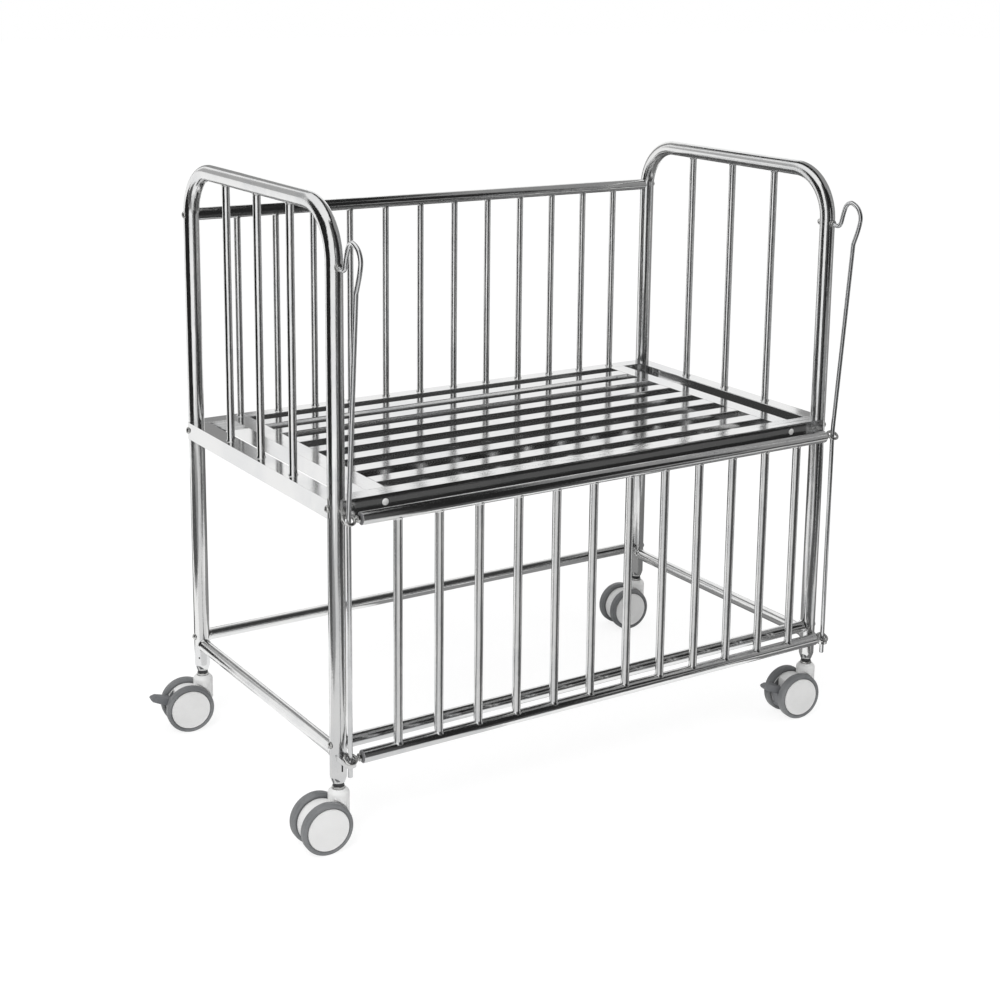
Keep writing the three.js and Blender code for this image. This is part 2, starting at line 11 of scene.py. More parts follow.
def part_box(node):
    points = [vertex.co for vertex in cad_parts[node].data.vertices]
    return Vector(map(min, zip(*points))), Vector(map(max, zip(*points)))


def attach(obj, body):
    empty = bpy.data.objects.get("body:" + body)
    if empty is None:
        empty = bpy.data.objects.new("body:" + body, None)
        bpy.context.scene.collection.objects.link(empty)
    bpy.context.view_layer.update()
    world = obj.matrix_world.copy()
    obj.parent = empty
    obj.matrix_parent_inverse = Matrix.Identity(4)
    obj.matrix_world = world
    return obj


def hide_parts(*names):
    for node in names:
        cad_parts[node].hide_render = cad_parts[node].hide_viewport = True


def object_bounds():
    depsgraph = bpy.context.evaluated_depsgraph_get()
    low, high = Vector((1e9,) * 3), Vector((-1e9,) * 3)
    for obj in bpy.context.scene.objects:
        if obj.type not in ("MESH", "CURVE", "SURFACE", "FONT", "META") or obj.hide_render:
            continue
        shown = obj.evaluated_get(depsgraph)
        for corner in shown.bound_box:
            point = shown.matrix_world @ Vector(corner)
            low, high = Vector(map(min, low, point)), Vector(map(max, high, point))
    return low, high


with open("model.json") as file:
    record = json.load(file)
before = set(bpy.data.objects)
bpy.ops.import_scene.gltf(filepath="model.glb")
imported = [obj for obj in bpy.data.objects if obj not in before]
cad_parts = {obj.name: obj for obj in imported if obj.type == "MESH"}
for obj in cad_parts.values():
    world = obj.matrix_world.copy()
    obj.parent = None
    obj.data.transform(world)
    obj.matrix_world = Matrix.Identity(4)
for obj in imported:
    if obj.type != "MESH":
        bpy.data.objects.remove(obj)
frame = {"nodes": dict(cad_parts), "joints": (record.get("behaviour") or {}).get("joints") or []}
cad_low, cad_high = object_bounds()

X = Vector((1, 0, 0))
Y = Vector((0, 1, 0))
Z = Vector((0, 0, 1))
MM = 0.001

# Camera, at the place and angle the photograph was taken from.
CAMERA_PLACE = (-1.91879, -3.03629, 1.61681)
CAMERA_YAW = 0.599226
CAMERA_PITCH = 0.209381
CAMERA_ROLL = 0.018378
CAMERA_LENS = 64.221
CAMERA_SHIFT = (-0.060848, -0.160000)

# Points round a circle, by how large it is in the picture.
LEG_SIDES = 56
TUBE_SIDES = 48
UPRIGHT_SIDES = 32
ROD_SIDES = 24
WHEEL_SIDES = 96
BEND_STEPS = 24
POLE = 0.05 * MM
SMOOTH_DEG = 35

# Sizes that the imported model's boxes don't give.
LEG_R = 16 * MM
LEG_TIP_R = 12 * MM
LEG_TIP_ROUND = 0.8 * MM
LEG_TAPER = 13 * MM
BEND_R = 100 * MM
STRETCHER_R = 12.5 * MM
TUBE_SUNK = 6 * MM
TUBE_WALL = 1.6 * MM
WELD_FOOT = 1.5 * MM
WELD_RISE = 4.5 * MM
GRILLE_TUBE_R = 12.5 * MM
GUARD_UPRIGHT_R = 7.1 * MM
SIDE_UPRIGHT_R = 8.5 * MM
GRILLE_COUNT = 12
GRILLE_PITCH = 86.5 * MM
END_UPRIGHT_R = 7.65 * MM
END_UPRIGHT_SUNK = 1.7 * MM
LUG_R = 11 * MM
LUG_H = 10 * MM
PLUG_R = 11.3 * MM
PLUG_RISE = 2 * MM
EYE_R = 11 * MM
EYE_WIRE_R = 3 * MM
EYE_TILT = math.radians(30)
EYE_SHANK_R = 4 * MM
EYE_SHANK_SUNK = 8 * MM
EYE_NUT_R = 7.5 * MM
EYE_NUT_WIDTH = 6 * MM
ROD_R = 4.5 * MM
BOLT_R = 7 * MM
BOLT_RISE = 4.6 * MM
BOLT_SUNK = 0.3 * MM
END_BOLT_Z = 653.2 * MM
SCREW_R = 6.5 * MM
SCREW_RISE = 2.6 * MM
SCREW_DROP = 15.5 * MM
# A near-black streak of painted shadow under the rod's lug on the front left leg, and a hole in the back
# left leg.
LUG_SHADOW_TOP_Z = 171 * MM
LUG_SHADOW_LENGTH = 21 * MM
LUG_SHADOW_R = 1.4 * MM
HOLE_Z = 155 * MM
HOLE_R = 2 * MM
HOLE_FACING = (-0.72, -0.69, 0)
SHEET_FOLD = 0.7 * MM
CHANNEL_FOLD = 1.1 * MM
SLAT_COUNT = 7


def middle(node):
    low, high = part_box(node)
    return (low + high) / 2


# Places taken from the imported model.
CORNERS = {
    name: middle(f"caster_stem_{name}").to_2d()
    for name in ("front_left", "front_right", "back_left", "back_right")
}
LEG_X = {"left": CORNERS["front_left"].x, "right": CORNERS["front_right"].x}
FRONT_Y = CORNERS["front_left"].y
BACK_Y = CORNERS["back_left"].y
MID_X = (LEG_X["left"] + LEG_X["right"]) / 2
FOOT_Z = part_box("end_tube_left")[0].z
TOP_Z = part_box("end_tube_left")[1].z - LEG_R
DECK_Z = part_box("deck_slat_1")[1].z
SIDE_Y = middle("drop_side").y
SIDE_LOW_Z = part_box("drop_side")[0].z + GRILLE_TUBE_R
SIDE_HIGH_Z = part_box("drop_side")[1].z - GRILLE_TUBE_R
GUARD_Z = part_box("rear_guard")[1].z - GRILLE_TUBE_R
STRETCHER_Z = middle("stretcher_front").z
END_STRETCHER_Z = middle("end_stretcher_left").z
SIGNS = {"left": -1, "right": 1}


# ---------------------------------------------------------------- modelling


def deselect():
    bpy.ops.object.select_all(action="DESELECT")


def pick(*pieces):
    deselect()
    for piece in pieces:
        piece.select_set(True)
    bpy.context.view_layer.objects.active = pieces[0]


def settle(piece):
    """Puts a piece's place, turn and size into its mesh."""
    pick(piece)
    bpy.ops.object.transform_apply(location=True, rotation=True, scale=True)


def edit(piece):
    pick(piece)
    bpy.ops.object.mode_set(mode="EDIT")


def leave_edit(smooth_deg=SMOOTH_DEG):
    bpy.ops.object.mode_set(mode="OBJECT")
    bpy.ops.object.shade_smooth_by_angle(angle=math.radians(smooth_deg))


class Drawn:
    """A ring of points drawn out into a round form, widened and bent on its way."""

    def __init__(self, name, centre, along, radius, sides):
        self.at = Vector(centre)
        self.along = Vector(along).normalized()
        self.radius = radius
        deselect()
        bpy.ops.mesh.primitive_circle_add(
            vertices=sides,
            radius=radius,
            fill_type="NOTHING",
            location=self.at,
            rotation=self.along.to_track_quat("Z", "X").to_euler(),
        )
        self.piece = bpy.context.object
        self.piece.name = name
        settle(self.piece)
        edit(self.piece)
        bpy.ops.mesh.select_mode(type="EDGE")
        bpy.ops.mesh.select_all(action="SELECT")

    def out(self, distance, radius=None):
        step = self.along * distance
        bpy.ops.mesh.extrude_region_move(TRANSFORM_OT_translate={"value": step})
        self.at += step
        if radius is not None and abs(radius - self.radius) > 1e-9:
            bpy.ops.transform.resize(value=(radius / self.radius,) * 3)
            self.radius = radius
        return self

    def bend(self, angle, centre, axis, steps=BEND_STEPS):
        """Sweeps the ring about an axis, right-handed, which the operator counts the other way."""
        bpy.ops.mesh.spin(steps=steps, angle=-angle, center=centre, axis=axis)
        spun = Matrix.Rotation(angle, 3, axis)
        self.at = Vector(centre) + spun @ (self.at - Vector(centre))
        self.along = spun @ self.along
        return self

    def follow(self, stations, axis):
        """Draws the ring through stations that lie in one plane square to the axis."""
        for here, after in zip(stations, stations[1:] + [None]):
            step = here - self.at
            bpy.ops.mesh.extrude_region_move(TRANSFORM_OT_translate={"value": step})
            ahead = step.normalized()
            if after is not None:
                ahead = (ahead + (after - here).normalized()).normalized()
            turn = math.atan2(self.along.cross(ahead).dot(axis), self.along.dot(ahead))
            bpy.ops.transform.rotate(value=-turn, orient_axis="X", center_override=here)
            self.at, self.along = here.copy(), ahead
        return self

    def close(self, smooth_deg=SMOOTH_DEG):
        bpy.ops.mesh.select_all(action="SELECT")
        bpy.ops.mesh.fill_holes(sides=0)
        bpy.ops.mesh.normals_make_consistent(inside=False)
        leave_edit(smooth_deg)
        return self.piece


def turned(name, foot, along, profile, sides=TUBE_SIDES, smooth_deg=SMOOTH_DEG):
    """A round form from pairs of distance along its axis and radius."""
    (start, radius), rest = profile[0], profile[1:]
    along = Vector(along).normalized()
    drawn = Drawn(name, Vector(foot) + along * start, along, radius, sides)
    place = start
    for here, wide in rest:
        drawn.out(here - place, wide)
        place = here
    return drawn.close(smooth_deg)


def eased(profile, radius, steps=3):
    """The same profile with each inner corner rounded."""
    points = [Vector(p) for p in profile]
    result = [tuple(points[0])]
    for before, corner, after in zip(points, points[1:], points[2:]):
        back, forth = before - corner, after - corner
        reach = min(radius, back.length * 0.48, forth.length * 0.48)
        start = corner + back.normalized() * reach
        end = corner + forth.normalized() * reach
        for i in range(steps + 1):
            t = i / steps
            first = start.lerp(corner, t)
            result.append(tuple(first.lerp(corner.lerp(end, t), t)))
    result.append(tuple(points[-1]))
    return result


def block(name, low, high):
    """A block between two corners, left in edit mode for shaping."""
    low, high = Vector(low), Vector(high)
    deselect()
    bpy.ops.mesh.primitive_cube_add(size=1, location=(low + high) / 2, scale=high - low)
    piece = bpy.context.object
    piece.name = name
    settle(piece)
    edit(piece)
    return piece


def choose_edges(piece, wanted):
    bpy.ops.mesh.select_mode(type="EDGE")
    bpy.ops.mesh.select_all(action="DESELECT")
    mesh = bmesh.from_edit_mesh(piece.data)
    for edge in mesh.edges:
        edge.select_set(wanted(edge.verts[0].co, edge.verts[1].co))
    bmesh.update_edit_mesh(piece.data)


def round_edges(piece, width, segments=3, over_deg=40):
    """Rounds every edge that is sharper than an angle."""
    pick(piece)
    bevel = piece.modifiers.new("rounding", "BEVEL")
    bevel.width = width
    bevel.segments = segments
    bevel.limit_method = "ANGLE"
    bevel.angle_limit = math.radians(over_deg)
    bevel.harden_normals = False
    bpy.ops.object.modifier_apply(modifier=bevel.name)
    bpy.ops.object.shade_smooth_by_angle(angle=math.radians(SMOOTH_DEG))
    return piece


def combine(piece, other, operation):
    """Adds another form to a piece, or cuts it away."""
    pick(piece)
    change = piece.modifiers.new("change", "BOOLEAN")
    change.operation = operation
    change.solver = "EXACT"
    change.object = other
    bpy.ops.object.modifier_apply(modifier=change.name)
    bpy.data.objects.remove(other)
    return piece


def join(name, pieces):
    pick(*pieces)
    bpy.ops.object.join()
    pieces[0].name = name
    return pieces[0]


def copy_to(piece, name, placing):
    """A copy with its own mesh, moved and turned by a matrix."""
    pick(piece)
    bpy.ops.object.duplicate(linked=False)
    twin = bpy.context.object
    twin.name = name
    twin.matrix_world = placing
    settle(twin)
    return twin


def shifted(piece, name, step):
    return copy_to(piece, name, Matrix.Translation(step))


def folded(node, name, edge):
    """A copy of a sheet metal node with its facets merged and its folds rounded."""
    deselect()
    source = frame["nodes"][node]
    piece = source.copy()
    piece.data = source.data.copy()
    piece.parent = None
    for key in list(piece.keys()):
        del piece[key]
    bpy.context.collection.objects.link(piece)
    piece.name = name
    edit(piece)
    bpy.ops.mesh.select_all(action="SELECT")
    bpy.ops.mesh.remove_doubles(threshold=0.01 * MM)
    bpy.ops.mesh.dissolve_limited(angle_limit=math.radians(2))
    leave_edit(30)
    return round_edges(piece, edge, segments=3, over_deg=50)


def place_piece(piece, body, material, slot, *nodes):
    """Gives a piece its finish, the body it moves with and the nodes it stands for."""
    piece.data.materials.clear()
    piece.data.materials.append(material)
    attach(piece, body)
    if nodes:
        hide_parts(*nodes)
    return piece


# ---------------------------------------------------------------- materials


def socket(tree, name, side, kind):
    tree.interface.new_socket(name, in_out=side, socket_type=f"NodeSocket{kind}")


def make_marks_group():
    """Cloudy patches and fine drawn lines, on the piece's own coordinates."""
    tree = bpy.data.node_groups.new("polishing_marks", "ShaderNodeTree")
    socket(tree, "Across Lines", "INPUT", "Vector")
    socket(tree, "Line Scale", "INPUT", "Float")
    socket(tree, "Patch Scale", "INPUT", "Float")
    socket(tree, "Lines", "OUTPUT", "Float")
    socket(tree, "Patches", "OUTPUT", "Float")
    nodes, links = tree.nodes, tree.links
    given = nodes.new("NodeGroupInput")
    put = nodes.new("NodeGroupOutput")
    place = nodes.new("ShaderNodeTexCoord")
    stretch = nodes.new("ShaderNodeVectorMath")
    stretch.operation = "MULTIPLY"
    links.new(place.outputs["Object"], stretch.inputs[0])
    links.new(given.outputs["Across Lines"], stretch.inputs[1])
    lines = nodes.new("ShaderNodeTexNoise")
    lines.inputs["Detail"].default_value = 5
    lines.inputs["Roughness"].default_value = 0.65
    links.new(stretch.outputs[0], lines.inputs["Vector"])
    links.new(given.outputs["Line Scale"], lines.inputs["Scale"])
    spread = nodes.new("ShaderNodeMapRange")
    spread.inputs["From Min"].default_value = 0.3
    spread.inputs["From Max"].default_value = 0.7
    links.new(lines.outputs["Fac"], spread.inputs["Value"])
    links.new(spread.outputs["Result"], put.inputs["Lines"])
    patches = nodes.new("ShaderNodeTexNoise")
    patches.inputs["Detail"].default_value = 6
    patches.inputs["Roughness"].default_value = 0.6
    patches.inputs["Distortion"].default_value = 0.4
    links.new(place.outputs["Object"], patches.inputs["Vector"])
    links.new(given.outputs["Patch Scale"], patches.inputs["Scale"])
    clear = nodes.new("ShaderNodeMapRange")
    clear.interpolation_type = "SMOOTHSTEP"
    clear.inputs["From Min"].default_value = 0.38
    clear.inputs["From Max"].default_value = 0.66
    links.new(patches.outputs["Fac"], clear.inputs["Value"])
    links.new(clear.outputs["Result"], put.inputs["Patches"])
    return tree


MARKS = make_marks_group()


def finish_with(
    name, plain, cloudy, rough, metal=0.0, lines=(1, 1, 1),
    line_scale=300.0, patch_scale=14.0, depth=0.05, ripple=0.1 * MM,
):
    """A finish of two near shades in cloudy patches, with fine lines in its gloss and relief."""
    material = bpy.data.materials.new(name)
    material.use_nodes = True
    nodes, links = material.node_tree.nodes, material.node_tree.links
    shader = nodes["Principled BSDF"]
    shader.inputs["Metallic"].default_value = metal
    marks = nodes.new("ShaderNodeGroup")
    marks.node_tree = MARKS
    marks.inputs["Across Lines"].default_value = lines
    marks.inputs["Line Scale"].default_value = line_scale
    marks.inputs["Patch Scale"].default_value = patch_scale
    shade = nodes.new("ShaderNodeMix")
    shade.data_type = "RGBA"
    shade.inputs["A"].default_value = (*plain, 1)
    shade.inputs["B"].default_value = (*cloudy, 1)
    links.new(marks.outputs["Patches"], shade.inputs["Factor"])
    links.new(shade.outputs["Result"], shader.inputs["Base Color"])
    both = nodes.new("ShaderNodeMath")
    both.operation = "ADD"
    links.new(marks.outputs["Lines"], both.inputs[0])
    links.new(marks.outputs["Patches"], both.inputs[1])
    gloss = nodes.new("ShaderNodeMapRange")
    gloss.inputs["From Max"].default_value = 2
    gloss.inputs["To Min"].default_value = rough[0]
    gloss.inputs["To Max"].default_value = rough[1]
    links.new(both.outputs[0], gloss.inputs["Value"])
    links.new(gloss.outputs["Result"], shader.inputs["Roughness"])
    relief = nodes.new("ShaderNodeBump")
    relief.inputs["Strength"].default_value = depth
    relief.inputs["Distance"].default_value = ripple
    links.new(marks.outputs["Lines"], relief.inputs["Height"])
    links.new(relief.outputs["Normal"], shader.inputs["Normal"])
    return material


STEEL = ((0.80, 0.80, 0.795), (0.74, 0.745, 0.75))
LINES_ALONG = {"x": (0.03, 1, 1), "y": (1, 0.03, 1), "z": (1, 1, 0.03)}


def tube_steel(axis):
    return finish_with(
        f"polished_tube_{axis}", *STEEL, rough=(0.08, 0.2), metal=1.0,
        lines=LINES_ALONG[axis], line_scale=300.0, depth=0.6,
    )


def sheet_steel(axis):
    return finish_with(
        f"polished_sheet_{axis}", *STEEL, rough=(0.06, 0.16), metal=1.0,
        lines=LINES_ALONG[axis], line_scale=260.0, patch_scale=6.0, depth=0.08,
    )


TUBE_X, TUBE_Y, TUBE_Z = (tube_steel(axis) for axis in "xyz")
SHEET_X, SHEET_Y = (sheet_steel(axis) for axis in "xy")
RAIL_STEEL = finish_with(
    "rolled_rail", *STEEL, rough=(0.08, 0.2), metal=1.0,
    lines=LINES_ALONG["x"], line_scale=60.0, patch_scale=6.0, depth=0.8, ripple=0.35 * MM,
)
PLATED = finish_with(
    "plated_rod", (0.78, 0.785, 0.79), (0.68, 0.69, 0.7), rough=(0.14, 0.28), metal=1.0,
    lines=LINES_ALONG["z"], line_scale=350.0,
)
NUT_PLATE = finish_with(
    "plated_nut", (0.66, 0.66, 0.65), (0.5, 0.5, 0.49), rough=(0.14, 0.3), metal=1.0, line_scale=600.0
)
SCREW_PLATE = finish_with(
    "bright_screw", (0.86, 0.86, 0.85), (0.78, 0.78, 0.77), rough=(0.3, 0.45), metal=0.25, line_scale=700.0
)
NYLON = finish_with(
    "white_nylon", (0.84, 0.84, 0.835), (0.79, 0.79, 0.785), rough=(0.32, 0.46), line_scale=900.0, depth=0.12
)
WHEEL_FACE = finish_with(
    "white_wheel_face", (0.8, 0.8, 0.795), (0.755, 0.755, 0.75), rough=(0.3, 0.42), line_scale=800.0
)
TYRE = finish_with(
    "grey_tyre", (0.2, 0.205, 0.21), (0.15, 0.155, 0.16), rough=(0.36, 0.54), line_scale=700.0, depth=0.3
)
PEDAL = finish_with(
    "grey_pedal", (0.19, 0.195, 0.205), (0.15, 0.155, 0.165), rough=(0.4, 0.6), line_scale=800.0, depth=0.25
)
BLACK_RING = finish_with(
    "black_ring", (0.02, 0.02, 0.022), (0.035, 0.035, 0.037), rough=(0.35, 0.55), line_scale=600.0
)
PLUG = finish_with("dark_plug", (0.11, 0.11, 0.115), (0.16, 0.16, 0.165), rough=(0.3, 0.5), line_scale=600.0)
# Near black, for painted shadow and painted shade on the legs.
PAINTED_SHADE = finish_with(
    "dark_inside", (0.012, 0.012, 0.012), (0.02, 0.02, 0.02), rough=(0.7, 0.9), line_scale=400.0
)


# ---------------------------------------------------------------- end frames


def flare(length, radius):
    """A straight upright that swells into a small weld fillet at both ends."""
    profile = [
        (-WELD_FOOT, radius + 2.2 * MM),
        (0, radius + 2 * MM),
        (WELD_RISE * 0.3, radius + 1.05 * MM),
        (WELD_RISE * 0.62, radius + 0.35 * MM),
        (WELD_RISE, radius),
    ]
    return profile + [(length - along, wide) for along, wide in reversed(profile)]


def ringed(span):
    """A low stretcher run into its legs, with a thin ring of weld at both ends."""
    profile = [
        (-TUBE_SUNK, STRETCHER_R + 1.6 * MM),
        (0, STRETCHER_R + 1.4 * MM),
        (1.2 * MM, STRETCHER_R + 0.6 * MM),
        (3 * MM, STRETCHER_R),
    ]
    return profile + [(span - along, wide) for along, wide in reversed(profile)]


def end_tube(label):
    """A tube bent twice, drawn from the swaged foot of the front leg to that of the back leg."""
    x = LEG_X[label]
    bend_z = TOP_Z - BEND_R
    tube = Drawn(f"{label}_end_tube", (x, FRONT_Y, FOOT_Z), Z, LEG_TIP_R - LEG_TIP_ROUND, LEG_SIDES)
    tube.out(LEG_TIP_ROUND, LEG_TIP_R).out(LEG_TAPER - 3 * MM, LEG_R - 0.5 * MM)
    tube.out(2 * MM, LEG_R - 0.12 * MM).out(2.5 * MM, LEG_R)
    tube.out(bend_z - tube.at.z).bend(-math.pi / 2, (x, FRONT_Y + BEND_R, bend_z), X)
    tube.out(BACK_Y - FRONT_Y - 2 * BEND_R).bend(-math.pi / 2, (x, BACK_Y - BEND_R, bend_z), X)
    tube.out(tube.at.z - FOOT_Z - LEG_TAPER - 2.3 * MM).out(2.5 * MM, LEG_R - 0.12 * MM)
    tube.out(2 * MM, LEG_R - 0.5 * MM).out(LEG_TAPER - 3 * MM, LEG_TIP_R)
    tube.out(tube.at.z - FOOT_Z, LEG_TIP_R - LEG_TIP_ROUND)
    return tube.close()


def rod_lug(label):
    """The plate welded to the front leg that the foot of the guide rod stands in, with its weld beads."""
    x = LEG_X[label]
    top = SIDE_LOW_Z - EYE_WIRE_R - 0.3 * MM
    low = (x - LUG_R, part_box(f"end_tube_{label}")[0].y, top - LUG_H)
    lug = block(f"{label}_lug", low, (x + LUG_R, FRONT_Y, top))
    choose_edges(lug, lambda a, b: abs(a.z - b.z) > MM and max(a.y, b.y) < SIDE_Y)
    bpy.ops.mesh.bevel(offset=LUG_R * 0.98, segments=12)
    leave_edit()
    round_edges(lug, 0.8 * MM, segments=2)
    profile = [(0, 0.6 * MM), (1.5 * MM, 1.9 * MM), (8 * MM, 2.2 * MM), (10.5 * MM, 1.5 * MM)]
    profile = eased([*profile, (11.5 * MM, 0.5 * MM)], 2 * MM)
    beads = []
    for side in (-1, 1):
        foot = (x + side * LUG_R, FRONT_Y - LEG_R * 0.78, top - 11 * MM)
        beads.append(turned("bead", foot, Z, profile, 20))
    return [lug, *beads]


def bolt(name, place, out, radius=BOLT_R, rise=BOLT_RISE):
    """A domed bolt head with a short washer face, standing on a surface."""
    dome = [
        (math.sin(t) * rise * 0.8 + rise * 0.2, math.cos(t) * radius * 0.93)
        for t in (math.radians(d) for d in (18, 36, 52, 66, 78, 87))
    ]
    profile = [(-2 * MM, radius), (0, radius), (rise * 0.14, radius), (rise * 0.2, radius * 0.95), *dome]
    return turned(name, place, out, profile, sides=32)


for label, sign in SIGNS.items():
    x = LEG_X[label]
    tube = end_tube(label)
    join(tube.name, [tube, *rod_lug(label)])
    place_piece(tube, "frame", TUBE_Z, "stainless_steel", f"end_tube_{label}")

    for i in (1, 2, 3):
        node = f"end_baluster_{label}_{i}"
        foot = (x, middle(node).y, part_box(node)[0].z)
        length = TOP_Z - LEG_R - foot[2] + END_UPRIGHT_SUNK
        profile = flare(length, END_UPRIGHT_R)
        upright = turned(f"{label}_end_upright_{i}", foot, Z, profile, UPRIGHT_SIDES)
        place_piece(upright, "frame", TUBE_Z, "stainless_steel", node)

    start = FRONT_Y + LEG_R
    profile = ringed(BACK_Y - LEG_R - start)
    bar = turned(f"{label}_end_stretcher", (x, start, END_STRETCHER_Z), Y, profile)
    place_piece(bar, "frame", TUBE_Y, "stainless_steel", f"end_stretcher_{label}")

    rail = folded(f"end_rail_{label}", f"{label}_end_rail", SHEET_FOLD)
    place_piece(rail, "frame", SHEET_Y, "stainless_steel", f"end_rail_{label}")

    web_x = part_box(f"end_rail_{label}")[0 if sign < 0 else 1].x
    leg_x = x + sign * (LEG_R - BOLT_SUNK)
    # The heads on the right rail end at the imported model's box.
    room = min(BOLT_RISE, cad_high.x - web_x) if sign > 0 else BOLT_RISE
    heads = []
    for y in (FRONT_Y, BACK_Y):
        heads.append(bolt("head", (web_x, y, END_BOLT_Z), X * sign, rise=room))
        heads.append(bolt("head", (leg_x, y, STRETCHER_Z), X * sign))
    heads.append(bolt("head", (leg_x, BACK_Y, GUARD_Z), X * sign))
    place_piece(join(f"{label}_bolt_heads", heads), "frame", NUT_PLATE, "plated_steel")

# A painted shadow of the rod's lug on the front left leg, drawn as a near-black streak, and a hole in the
# back left leg, drawn as a near-black disc on the surface whose black is painted shade for the inside of the
# hole.
lug_shadow_top = (LEG_X["left"], FRONT_Y - LEG_R - 0.05 * MM, LUG_SHADOW_TOP_Z)
lug_shadow_rim = [(0, POLE), (0, LUG_SHADOW_R), (LUG_SHADOW_LENGTH, LUG_SHADOW_R), (LUG_SHADOW_LENGTH, POLE)]
slot = turned("slot", lug_shadow_top, -Z, eased(lug_shadow_rim, LUG_SHADOW_R), 20)
hole_out = Vector(HOLE_FACING).normalized()
hole_at = Vector((*CORNERS["back_left"], HOLE_Z)) + hole_out * (LEG_R - MM)
hole_rim = [(0, HOLE_R), (1.1 * MM, HOLE_R), (1.1 * MM, POLE)]
hole = turned("hole", hole_at, hole_out, eased(hole_rim, 0.2 * MM), 20)
place_piece(join("leg_painted_shade_marks", [slot, hole]), "frame", PAINTED_SHADE, "stainless_steel")


# ---------------------------------------------------------------- sides, guard and deck

start = LEG_X["left"] + LEG_R
span = LEG_X["right"] - LEG_R - start
for label, y in (("front", FRONT_Y), ("back", BACK_Y)):
    rail = folded(f"side_rail_{label}", f"{label}_side_rail", SHEET_FOLD)
    place_piece(rail, "frame", RAIL_STEEL, "stainless_steel", f"side_rail_{label}")
    bar = turned(f"{label}_stretcher", (start, y, STRETCHER_Z), X, ringed(span))
    place_piece(bar, "frame", TUBE_X, "stainless_steel", f"stretcher_{label}")

    out = -Y if label == "front" else Y
    web_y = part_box(f"side_rail_{label}")[0 if label == "front" else 1].y
    screws = [
        bolt("screw", (middle(node).x, web_y, DECK_Z - SCREW_DROP), out, SCREW_R, SCREW_RISE)
        for node in ("deck_cross_left", "deck_cross_right")
    ]
    place_piece(join(f"{label}_deck_screws", screws), "frame", SCREW_PLATE, "plated_steel")


def grille(name, y, foot, top, radius):
    """A row of uprights welded between two heights."""
    first_x = MID_X - (GRILLE_COUNT - 1) / 2 * GRILLE_PITCH
    first = turned(name, (first_x, y, foot), Z, flare(top - foot, radius), UPRIGHT_SIDES)
    others = [shifted(first, name, X * GRILLE_PITCH * i) for i in range(1, GRILLE_COUNT)]
    return [first, *others]


def weld_reach(radius):
    """How far from a tube's axis an upright's end meets the round of the tube."""
    return math.sqrt(GRILLE_TUBE_R**2 - radius**2)


profile = [(along, GRILLE_TUBE_R) for along in (-TUBE_SUNK, 0, span, span + TUBE_SUNK)]
top_tube = turned("guard_tube", (start, BACK_Y, GUARD_Z), X, profile)
reach = weld_reach(GUARD_UPRIGHT_R)
uprights = grille("guard_upright", BACK_Y, DECK_Z, GUARD_Z - reach, GUARD_UPRIGHT_R)
place_piece(join("rear_guard_uprights", uprights), "frame", TUBE_Z, "stainless_steel")
place_piece(top_tube, "frame", TUBE_X, "stainless_steel", "rear_guard")

for label in SIGNS:
    cross = folded(f"deck_cross_{label}", f"{label}_deck_cross", CHANNEL_FOLD)
    place_piece(cross, "frame", SHEET_Y, "stainless_steel", f"deck_cross_{label}")

slat = folded("deck_slat_1", "slat_1", CHANNEL_FOLD)
pitch = middle("deck_slat_2") - middle("deck_slat_1")
for i in range(1, SLAT_COUNT + 1):
    piece = slat if i == 1 else shifted(slat, f"slat_{i}", pitch * (i - 1))
    place_piece(piece, "frame", SHEET_X, "stainless_steel", f"deck_slat_{i}")


# ---------------------------------------------------------------- drop side

side_low, side_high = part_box("drop_side")
tube_start = side_low.x + PLUG_RISE
tube_span = side_high.x - PLUG_RISE - tube_start
bore_r = GRILLE_TUBE_R - TUBE_WALL
tube_profile = [(0, bore_r), (0, GRILLE_TUBE_R), (tube_span, GRILLE_TUBE_R), (tube_span, bore_r)]
tube_profile = eased(tube_profile, 0.7 * MM)
plug_profile = [(-7 * MM, PLUG_R), (0.3 * MM - PLUG_RISE, PLUG_R), (0, 9.2 * MM), (0, 4.6 * MM)]
plug_profile = eased(plug_profile, 0.8 * MM)
side_tubes = []
plugs = []
for z in (SIDE_LOW_Z, SIDE_HIGH_Z):
    side_tubes.append(turned("side_tube", (tube_start, SIDE_Y, z), X, tube_profile))
    for end, sign in ((side_low.x, -1), (side_high.x, 1)):
        plugs.append(turned("plug", (end, SIDE_Y, z), X * sign, plug_profile, 40))
side_tube = join("drop_side_tubes", side_tubes)
place_piece(side_tube, "side", TUBE_X, "stainless_steel", "drop_side")
place_piece(join("drop_side_plugs", plugs), "side", PLUG, "stainless_steel")
reach = weld_reach(SIDE_UPRIGHT_R)
bars = grille("side_upright", SIDE_Y, SIDE_LOW_Z + reach, SIDE_HIGH_Z - reach, SIDE_UPRIGHT_R)
place_piece(join("drop_side_uprights", bars), "side", TUBE_Z, "stainless_steel")


def nut_profile(width, radius):
    """A six-sided nut with its corners cut at both faces."""
    cut = 0.9 * MM
    return [
        (0, radius * 0.86), (cut * 0.5, radius * 0.97), (cut, radius), (width - cut, radius),
        (width - cut * 0.5, radius * 0.97), (width, radius * 0.86),
    ]


